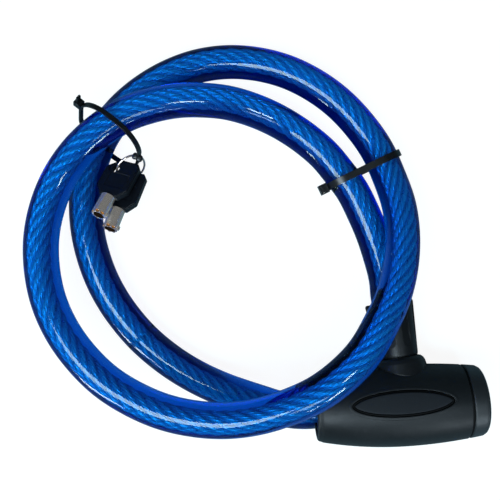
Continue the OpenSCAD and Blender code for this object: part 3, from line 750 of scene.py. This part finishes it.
@dataclass
class Cable:
    """The clear jacket and the wire rope in it: two loops, then the lead.

    The lead is the last length, where the real cable bends as the plug slides. Sizes are in metres.
    The points of the route and the fields from mouth_x to lead_runs are in millimetres, in the
    mouth frame.
    """

    diameter: float = 0.0178
    jacket_sides: int = 72
    jacket_step: float = 0.0016
    cut: float = 0.00002
    rope_radius: float = 0.004
    rope_past: float = 0.011
    lay: float = 0.0445
    wire_lay: float = 0.019
    strands: int = 6
    wires: int = 8
    wire_step: float = 0.002
    core_sides: int = 10
    core_share: float = 2.1
    aside: float = 0.0008
    aside_from: Pair = (0.02, 0.01)
    aside_over: float = 0.04
    coil_middle: Point = (-0.028, 0.008, 0.0)
    path_step: float = 0.002
    mouth_x: float = -4.0
    outlet: Pair = (46.2, 24.9)
    outlet_lean: float = radians(5)
    boot_length: float = 29.0
    boot_runs: tuple[float, ...] = (2.2, 8, 14, 20, 26, 33)
    lead_runs: tuple[float, ...] = (-5, 0, 5)
    outer_loop: tuple[Point, ...] = (
        (43.2, 65.3, 11.6), (41.8, 74.6, 10.8), (38.3, 89.3, 10.2), (33.7, 102.5, 10.4),
        (28.6, 114.4, 10.8), (21.9, 124.9, 10.8), (14.9, 134.6, 10.4), (6.5, 142.9, 10.6),
        (-2.7, 150, 11.8), (-12.6, 155.9, 14), (-23.4, 160.6, 17), (-34.9, 163.9, 20.5),
        (-47.1, 165.3, 24), (-60, 165.4, 27), (-73.3, 163.4, 29.1), (-87, 159.4, 30.1),
        (-100, 152.4, 30.2), (-111.9, 142.9, 29.7), (-122, 130.8, 29.2), (-129.4, 116.5, 29.3),
        (-133.7, 100.6, 30), (-134.2, 84, 31.5), (-131.5, 67.5, 33), (-125.3, 51.9, 34.5),
        (-116.1, 37.9, 36), (-104.6, 25.9, 38), (-91.1, 16.6, 40), (-76.4, 9.5, 41.5),
        (-60.9, 5.3, 43), (-45.1, 3.7, 44.5), (-29.4, 4.9, 45.6), (-14.3, 8.7, 46.6),
        (0.1, 14.3, 47), (13.1, 22.6, 47), (24.5, 32.8, 45.5), (33.9, 45.5, 42), (41.8, 58.2, 37),
        (47.6, 72.7, 31.4), (50.9, 88.1, 25.4), (51.4, 104.1, 19.2))
    inner_loop: tuple[Point, ...] = (
        (48.4, 120, 13.6), (43.2, 135.3, 11.2), (35, 149.3, 10), (24.7, 161.9, 9.4),
        (12.3, 172.4, 9.2), (-1.9, 180.6, 9.2), (-17.4, 185.8, 9.2), (-33.6, 188, 9.2),
        (-49.9, 186.8, 9.2), (-65.3, 182.3, 9.2), (-79.4, 175, 9.8), (-91.7, 165.4, 10.8),
        (-101.8, 153.9, 11.2), (-108.7, 140.9, 11.1), (-113.1, 127.1, 10.2), (-114.9, 113.2, 9.2),
        (-114.4, 99.7, 9.2), (-112.1, 86.9, 9.2), (-108.4, 74.9, 9.2), (-103.2, 63.6, 9.2),
        (-96.8, 53.2, 9.2), (-89.3, 43.4, 9.2))
    lead: tuple[Point, ...] = (
        (-80.5, 34.4, 9.2), (-70.4, 26.1, 9.6), (-59, 18.8, 10.9), (-47.5, 13.1, 12.9),
        (-37.5, 9.2, 15.2), (-28.5, 6, 17.4), (-20, 3, 19.3), (-12.2, 0.8, 20.5))
    route: Route = field(init=False)

    def __post_init__(self) -> None:
        """Lays the route from the boot, round both loops and into the barrel's mouth."""
        boot = [self.on_outlet(run) for run in self.boot_runs]
        mouth = [(x, 0, AXIS_HEIGHT_MM) for x in self.lead_runs]
        rows = [*boot, *self.outer_loop, *self.inner_loop, *self.lead, *mouth]
        self.route = Route(from_mouth(rows))

    def on_outlet(self, s: float) -> Point:
        """Finds a point on the boot's axis.

        Args:
            s: How far it is from the boot's seam, in millimetres.

        Returns:
            The point, in millimetres in the mouth frame.
        """
        x, r = self.outlet
        r += s * cos(self.outlet_lean)
        return (x - s * sin(self.outlet_lean), r * cos(BARREL_ROLL),
                AXIS_HEIGHT_MM + r * sin(BARREL_ROLL))

    def build(self, finishes: Finishes) -> None:
        """Makes the four pieces of the cable, and samples both runs' centrelines without using
        them.

        Args:
            finishes: The finishes of the jacket and the rope.
        """
        end = self.route.length[-1]
        seam_point = from_mouth(self.inner_loop[-1])
        seam = self.route.nearest(seam_point)

        loops = self.make_jacket("clear_jacket_loops", 0, seam - self.cut / 2)
        lead = self.make_jacket("clear_jacket_lead", seam + self.cut / 2, end)
        rope = self.make_rope("twisted_rope_loops", -self.rope_past, seam)
        rope_lead = self.make_rope("twisted_rope_lead", seam, end + self.rope_past)
        for piece, node, slot in (
            (loops, "cable_loops", Slot.JACKET), (lead, "cable_lead", Slot.JACKET),
            (rope, "rope_loops", Slot.ROPE), (rope_lead, "rope_lead", Slot.ROPE),
        ):
            dress_piece(piece, finishes.by_slot[slot])
            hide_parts(node)
        for piece in (loops, rope):
            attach(piece, Body.LOCK.value)
        for piece in (lead, rope_lead):
            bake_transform(piece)

        exit_point = from_mouth(self.on_outlet(self.boot_length))
        self.path(0, seam)
        self.path(seam, end)
        log.info("the cable is %.4f m long, with its seam at %.4f m", end, seam)

    def path(self, start: float, end: float) -> list[list[float]]:
        """Points on the centreline between two lengths, a path step apart."""
        steps = max(2, int((end - start) / self.path_step))
        return self.route.at(np.linspace(start, end, steps))[0].tolist()

    def make_jacket(self, name: str, start: float, end: float) -> bpy.types.Object:
        """Makes one run of the jacket, a closed rod of clear plastic.

        Args:
            name: The piece's name.
            start: Length along the route where it starts.
            end: Length along the route where it ends.

        Returns:
            The piece.
        """
        s = np.linspace(start, end, max(2, int((end - start) / self.jacket_step)))
        place, _, side, up = self.route.at(s)
        rings = self.rings(place, side, up, self.diameter / 2, circle(self.jacket_sides))
        return make_piece(name, rings.reshape(-1, 3), tube_faces(len(s), self.jacket_sides))

    def rings(self, place: np.ndarray, side: np.ndarray, up: np.ndarray, radius: float,
              turn: np.ndarray) -> np.ndarray:
        """A circle of points round each place, at the angles in turn from side towards up."""
        return place[:, None] + radius * (np.cos(turn)[None, :, None] * side[:, None]
                                          + np.sin(turn)[None, :, None] * up[:, None])

    def off_centre(self, s: np.ndarray, place: np.ndarray, along: np.ndarray) -> np.ndarray:
        """Finds how the rope lies off the middle of the jacket, which fades out at both ends.

        Args:
            s: Lengths along the route.
            place: The route's points there.
            along: Its directions there.

        Returns:
            The level offset at each length, away from the coil's middle.
        """
        flat = unit(np.cross(along, (0, 0, 1.0)))
        sign = np.sign(np.sum(flat * (place - np.array(self.coil_middle)), axis=1, keepdims=True))
        first, last = self.aside_from
        ends = (np.clip((s - first) / self.aside_over, 0, 1)
                * np.clip((self.route.length[-1] - last - s) / self.aside_over, 0, 1))
        return flat * sign * (self.aside * ends * ends * (3 - 2 * ends))[:, None]

    def strand_outline(self) -> tuple[np.ndarray, np.ndarray]:
        """Draws the outline of a strand of wires that touch each other.

        Returns:
            The angles of its points, and their radii where the strand's is 1.
        """
        half = pi / self.wires
        wire_r = sin(half) / (1 + sin(half))
        off = half * np.array((-1, -0.5, 0, 0.5))
        across, out = (1 - wire_r) * np.sin(off), (1 - wire_r) * np.cos(off)
        lobe = out + np.sqrt(np.maximum(wire_r**2 - across**2, 0))
        turn = (off[None, :] + 2 * half * np.arange(self.wires)[:, None]).ravel()
        return turn, np.tile(lobe, self.wires)

    def make_rope(self, name: str, start: float, end: float) -> bpy.types.Object:
        """Makes one run of the rope: strands laid right, each of wires laid left, round a core.

        Args:
            name: The piece's name.
            start: Length along the route where it starts, which may lie before the route.
            end: Length along the route where it ends, which may lie past it.

        Returns:
            The piece.
        """
        s = np.linspace(start, end, max(4, int((end - start) / self.wire_step)))
        place, along, side, up = self.route.at(s)
        past = (s - np.clip(s, 0, self.route.length[-1]))[:, None]
        place = place + along * past + self.off_centre(s, place, along)
        # Six equal strands fit round a core of their own size, so each is a third of the rope.
        strand_r = self.rope_radius / 3
        turn, shape = self.strand_outline()
        verts, faces = [], []
        for k in range(self.strands):
            phi = (2 * pi * (s / self.lay + k / self.strands))[:, None]
            radial = np.cos(phi) * up - np.sin(phi) * side
            line = place + 2 * strand_r * radial
            binormal = unit(np.cross(unit(np.gradient(line, axis=0)), radial))
            psi = (turn[None, :] - 2 * pi * s[:, None] / self.wire_lay)[..., None]
            ring = line[:, None] + strand_r * shape[None, :, None] * (
                np.cos(psi) * radial[:, None] + np.sin(psi) * binormal[:, None])
            verts.append(ring.reshape(-1, 3))
            faces.extend(tube_faces(len(s), len(turn), k * len(s) * len(turn)))
        core = self.rings(place, side, up, self.core_share * strand_r, circle(self.core_sides))
        verts.append(core.reshape(-1, 3))
        faces.extend(tube_faces(len(s), self.core_sides, self.strands * len(s) * len(turn)))
        return make_piece(name, np.vstack(verts), faces)


# ---------------------------------------------------------------- barrel and keys


@dataclass(frozen=True)
class Barrel:
    """The barrel's oval panel and rim, and black painted shade in its groove and the end ring's
    seam.

    Sizes are in millimetres. The tables of edges hold how far each ring is from the edge that they
    start at, and how deep it lies.
    """

    length: float = 87.0
    belly_x: float = 46.0
    belly_r: float = 20.9
    mouth_r: float = 15.6
    cap_r: float = 17.8
    around: int = 192
    oval_x: float = 43.0
    oval_roll: float = radians(-6.5)
    oval_size: Pair = (53.0, 15.0)
    oval_deep: float = 1.6
    crown: float = 0.18
    rim: float = 0.85
    groove: float = 2.2
    panel_gap: float = 0.05
    panel_edge: tuple[Pair, ...] = ((0.05, 0.42), (0.09, 0.22), (0.2, 0.12), (0.42, 0.08))
    panel_scales: tuple[float, ...] = (0.94, 0.84, 0.7, 0.54, 0.38, 0.22, 0.1, 0.02)
    rim_outer: tuple[Pair, ...] = ((0.02, 1.5), (-0.9, 0.05), (-0.5, -0.025), (0.0, -0.03))
    rim_inner: tuple[Pair, ...] = ((-0.25, -0.02), (-0.08, 0.03), (0.0, 0.14), (0.0, 1.5))
    painted_shade_edge: tuple[Pair, ...] = ((0.02, 1.5), (0.02, 1.2), (0.3, 1.02))
    painted_shade_deep: float = 0.95
    seam: Pair = (77.0, 78.1)
    seam_edge: tuple[Pair, ...] = ((0.03, 0.88), (0.03, 0.5), (0.25, 0.32))

    def radius(self, x: np.ndarray) -> np.ndarray:
        """Finds the barrel's outer radius.

        Args:
            x: Distances from the mouth.

        Returns:
            The radius at each, which falls off as a parabola on both sides of the belly.
        """
        past = x - self.belly_x
        front = (self.belly_r - self.mouth_r) * (past / self.belly_x) ** 2
        back = (self.belly_r - self.cap_r) * (past / (self.length - self.belly_x)) ** 2
        return self.belly_r - np.where(past < 0, front, back)

    def height(self, x: np.ndarray, y: np.ndarray) -> np.ndarray:
        """Height of the barrel's surface over its axis, x from the mouth and y aside."""
        return np.sqrt(self.radius(x) ** 2 - y**2)

    def outline(self, inset: float) -> np.ndarray:
        """Draws the recess's ellipse, drawn in evenly.

        Args:
            inset: How far it is drawn in.

        Returns:
            Points as offsets from its middle. Where the ellipse is too sharp to be drawn in so far,
            they gather at its tips.
        """
        a = circle(self.around)
        long, wide = self.oval_size
        out = unit(np.stack([wide * np.cos(a), long * np.sin(a)], 1))
        flat = np.stack([long / 2 * np.cos(a), wide / 2 * np.sin(a)], 1) - inset * out
        kept = flat[:, 1] * np.sin(a) > 0
        tip = np.abs(flat[kept, 0]).max()
        return np.column_stack([np.clip(flat[:, 0], -tip, tip), np.where(kept, flat[:, 1], 0)])

    def hug(self, inset: float, sink: float) -> np.ndarray:
        """Draws a ring that follows the barrel's surface.

        Args:
            inset: How far the recess's outline is drawn in.
            sink: How deep it lies under the surface.

        Returns:
            Its points, from the mouth on the barrel's axis.
        """
        x, y = self.outline(inset).T
        x = x + self.oval_x
        return np.column_stack([x, y, self.height(x, y) - sink])

    def level(self, inset: float, sink: float, scale: float = 1.0) -> np.ndarray:
        """Draws a ring of the panel, which is level across apart from its crown.

        Args:
            inset: How far the recess's outline is drawn in.
            sink: How deep the ring lies under the barrel's surface at the panel's own edge.
            scale: The outline's size as a share of its own.

        Returns:
            Its points, from the mouth on the barrel's axis.
        """
        x, y = (self.outline(inset) * scale).T
        edge = self.outline(self.groove)
        order = np.argsort(edge[: self.around // 2 + 1, 0])
        half = np.interp(x, edge[order, 0], np.abs(edge[order, 1]))
        # At the tips the panel has no width, which mustn't be divided by.
        share = np.minimum((y / np.maximum(half, 0.01)) ** 2, 1)
        crown = self.crown * (1 - share) * half / half.max()
        x = x + self.oval_x
        return np.column_stack([x, y, self.height(x, half) + crown - sink])

    def between(self, start: float, end: float, edge: Sequence[Pair]) -> list[Pair]:
        """The place and depth of the rings of a fill of painted shade, laid inwards from start and
        from end.
        """
        return ([(start + into, sink) for into, sink in edge]
                + [(end - into, sink) for into, sink in reversed(edge)])

    def make(self, name: str, rings: list[np.ndarray], roll: float, ends_meet: bool,
             finish: Material) -> bpy.types.Object:
        """Makes a piece on the barrel from rings of points.

        Args:
            name: The piece's name.
            rings: Rings of equally many points, from the mouth on the barrel's axis.
            roll: How far the rings are turned about that axis.
            ends_meet: Whether the last ring joins the first, as in a seal.
            finish: The piece's material.

        Returns:
            The piece, which rides on the lock.
        """
        place = lock_frame() @ Matrix.Rotation(roll, 4, "X")
        verts = np.array([place @ Vector(point) for point in np.vstack(rings) * MM])
        piece = make_piece(name, verts, tube_faces(len(rings), self.around, ends_meet=ends_meet))
        dress_piece(piece, finish)
        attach(piece, Body.LOCK.value)
        return piece

    def build(self, finishes: Finishes) -> None:
        """Makes the panel, its rim and both fills of painted shade, and dresses the end ring in a
        lit copy of the cover's finish.

        Args:
            finishes: The finishes of these pieces.
        """
        self.build_panel(finishes)
        self.build_rim(finishes)
        self.build_painted_shades(finishes)
        # The end ring takes the cover's lit copy, whose lighter colour is painted light.
        finishes.cover("end_cap", finishes.lit_end_ring)

    def build_panel(self, finishes: Finishes) -> None:
        """Makes the crowned panel that lies in the oval recess.

        Args:
            finishes: The finishes, which hold the panel's.
        """
        rings = [self.hug(self.groove + self.panel_gap, self.oval_deep - self.panel_gap)]
        rings += [self.level(self.groove + into, sink) for into, sink in self.panel_edge]
        into, sink = self.panel_edge[-1]
        rings += [self.level(self.groove + into, sink, scale) for scale in self.panel_scales]
        panel = self.make("oval_panel", rings, self.oval_roll, False, finishes.by_slot[Slot.INLAY])
        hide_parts("oval_inlay")

    def build_rim(self, finishes: Finishes) -> None:
        """Makes the rim that narrows the recess, with its outer edge over the cover's surface.

        Args:
            finishes: The finishes, which hold the cover's.
        """
        rings = [self.hug(inset, sink) for inset, sink in self.rim_outer]
        rings += [self.hug(self.rim + inset, sink) for inset, sink in self.rim_inner]
        self.make("oval_rim", rings, self.oval_roll, True, finishes.by_slot[Slot.COVER])

    def build_painted_shades(self, finishes: Finishes) -> None:
        """Makes the black fills of painted shade in the panel's groove and in the end ring's seam.

        Args:
            finishes: The finishes, which hold the black of the painted shade.
        """
        # The fill in the panel's groove is painted shade, black where the groove only falls into
        # shadow.
        rows = self.between(self.rim, self.groove, self.painted_shade_edge)
        rows.insert(len(self.painted_shade_edge), ((self.rim + self.groove) / 2, self.painted_shade_deep))
        rings = [self.hug(inset, sink) for inset, sink in rows]
        self.make("groove_painted_shade", rings, self.oval_roll, True, finishes.painted_shade)
        # The fill in the end ring's seam is painted shade too, black where the seam only falls into
        # shadow.
        a, rings = circle(self.around), []
        for x, sink in self.between(*self.seam, self.seam_edge):
            r = float(self.radius(np.array(x))) - sink
            rings.append(np.column_stack([np.full(self.around, x), r * np.cos(a), r * np.sin(a)]))
        self.make("seam_painted_shade", rings, 0.0, True, finishes.painted_shade)


@dataclass(frozen=True)
class Keys:
    """The two tubular keys' plated tubes, the web in the upper head's hole and the tie's bead.

    Sizes are in millimetres. A spot is a key's place in the mouth frame, with its yaw, pitch and
    roll in degrees. The bead's rings hold a place along it, half a width and half a height. The web
    runs round the hole's edge over its arc, then back along its free edge.
    """

    spots: tuple[tuple[Point, Point], ...] = (
        ((-98.9, 119.7, 23.6), (-27.0, 26.0, 14.0)),
        ((-95.5, 113.2, 18.6), (-22.0, 22.0, 13.0)),
    )
    hole: Point = (-4.2, 15.6, 0.0)
    hole_r: float = 3.02
    web_arc: Pair = (75, 285)
    web_points: int = 33
    web_edge: tuple[Pair, ...] = (
        (0.1, -2.4), (-0.6, -1.5), (-0.85, -0.3), (-0.65, 0.9), (0.1, 2.2))
    web_levels: tuple[Pair, ...] = ((-1.7, 0.92), (-1.5, 1.0), (1.5, 1.0), (1.7, 0.92))
    bead: Point = (-69.3, 62.4, 24.6)
    bead_turn: float = radians(-32)
    bead_sides: int = 48
    bead_roundness: float = 0.6
    bead_rings: tuple[Point, ...] = (
        (-2.75, 0.5, 0.6), (-2.6, 1.2, 1.2), (-2.1, 1.75, 1.6), (-1.2, 1.85, 1.75),
        (-0.6, 1.5, 1.6), (0.0, 1.45, 1.6), (0.5, 1.8, 1.8), (1.5, 1.9, 1.8), (2.2, 1.65, 1.5),
        (2.65, 1.1, 1.1), (2.8, 0.5, 0.5))

    def place(self, number: int) -> Matrix:
        """Finds the frame of a key.

        Args:
            number: 1 for the upper key or 2 for the lower.

        Returns:
            The frame, with its origin where the tube leaves the head.
        """
        spot, (yaw, pitch, roll) = self.spots[number - 1]
        return (mouth_frame() @ Matrix.Translation(Vector(spot) * MM)
                @ Matrix.Rotation(radians(yaw), 4, "Z") @ Matrix.Rotation(radians(-pitch), 4, "X")
                @ Matrix.Rotation(radians(-roll), 4, "Y"))

    def build(self, finishes: Finishes) -> None:
        """Makes the bead and the web."""
        self.build_bead(finishes)
        self.build_web(finishes)

    def build_web(self, finishes: Finishes) -> None:
        """Makes the web that narrows the upper head's hole to where its ring runs.

        Args:
            finishes: The finishes, which hold the heads' plastic.
        """
        a = np.radians(np.linspace(*self.web_arc, self.web_points))
        flat = np.vstack([self.hole_r * np.stack([np.cos(a), np.sin(a)], 1), self.web_edge])
        middle = flat.mean(0)
        place = self.place(1) @ Matrix.Translation(Vector(self.hole) * MM)
        verts = [place @ (Vector((*(middle + (point - middle) * scale), z)) * MM)
                 for z, scale in self.web_levels for point in flat]
        web = make_piece("key_web", np.array(verts), tube_faces(len(self.web_levels), len(flat)))
        dress_piece(web, finishes.by_slot[Slot.KEY])
        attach(web, Body.KEY_1.value)

    def build_bead(self, finishes: Finishes) -> None:
        """Makes the bead that locks the tie's tail.

        Args:
            finishes: The finishes, which hold the tie's nylon.
        """
        place = (Matrix.Translation(Vector(self.bead) * MM)
                 @ Matrix.Rotation(self.bead_turn, 4, "Z"))
        a = circle(self.bead_sides)
        c, s = (np.sign(f(a)) * np.abs(f(a)) ** self.bead_roundness for f in (np.cos, np.sin))
        verts = [place @ Vector((x * MM, y * MM * float(u), z * MM * float(v)))
                 for x, y, z in self.bead_rings for u, v in zip(c, s)]
        bead = make_piece("tie_bead", np.array(verts), tube_faces(len(self.bead_rings), len(a)))
        dress_piece(bead, finishes.by_slot[Slot.TIE])
        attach(bead, Body.LOCK.value)

    def dress(self, finishes: Finishes) -> None:
        """Gives each tube its plating.

        Args:
            finishes: The finishes, which cover the tubes' solids.
        """
        for number in (1, 2):
            place = self.place(number)
            along = place.to_3x3() @ Vector((0, 1, 0))
            tube = PlatedTube(f"plated_tube_{number}", tuple(place.translation), tuple(along))
            finishes.cover(f"key_tube_{number}", tube.material())


# ---------------------------------------------------------------- the rest


@dataclass(frozen=True)
class Solids:
    """The solids of the model that show as they are, by their finish."""

    by_slot: tuple[tuple[Slot, tuple[str, ...]], ...] = (
        (Slot.COVER, ("lock_cover",)),
        (Slot.BOOT, ("outlet_collar", "cable_boot")),
        (Slot.ZINC, ("lock_housing",)),
        (Slot.STEEL, ("anchor_ferrule", "anchor_pin", "case_pin", "driver_springs", "core_cam",
                      "latch_slider", "plug_ferrule")),
        (Slot.NICKEL, ("cylinder_case", "locking_pin", "key_ring")),
        (Slot.BRASS, ("pin_sleeve", "driver_pins", "cylinder_core", "key_pins")),
        (Slot.TIE, ("coil_tie", "key_tie")),
        (Slot.KEY, ("key_head_1", "key_head_2")),
    )

    def dress(self, finishes: Finishes) -> None:
        """Finishes every solid.

        Args:
            finishes: The finishes, by slot.
        """
        for slot, nodes in self.by_slot:
            for node in nodes:
                finishes.dress(node, slot)


def main() -> None:
    """Builds the studio and the lock."""
    logging.basicConfig(level=logging.INFO, format="%(message)s")
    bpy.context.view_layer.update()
    finishes = Finishes()
    Studio().build()
    Cable().build(finishes)
    Solids().dress(finishes)
    Barrel().build(finishes)
    keys = Keys()
    keys.build(finishes)
    keys.dress(finishes)


if __name__ == "__main__":
    main()
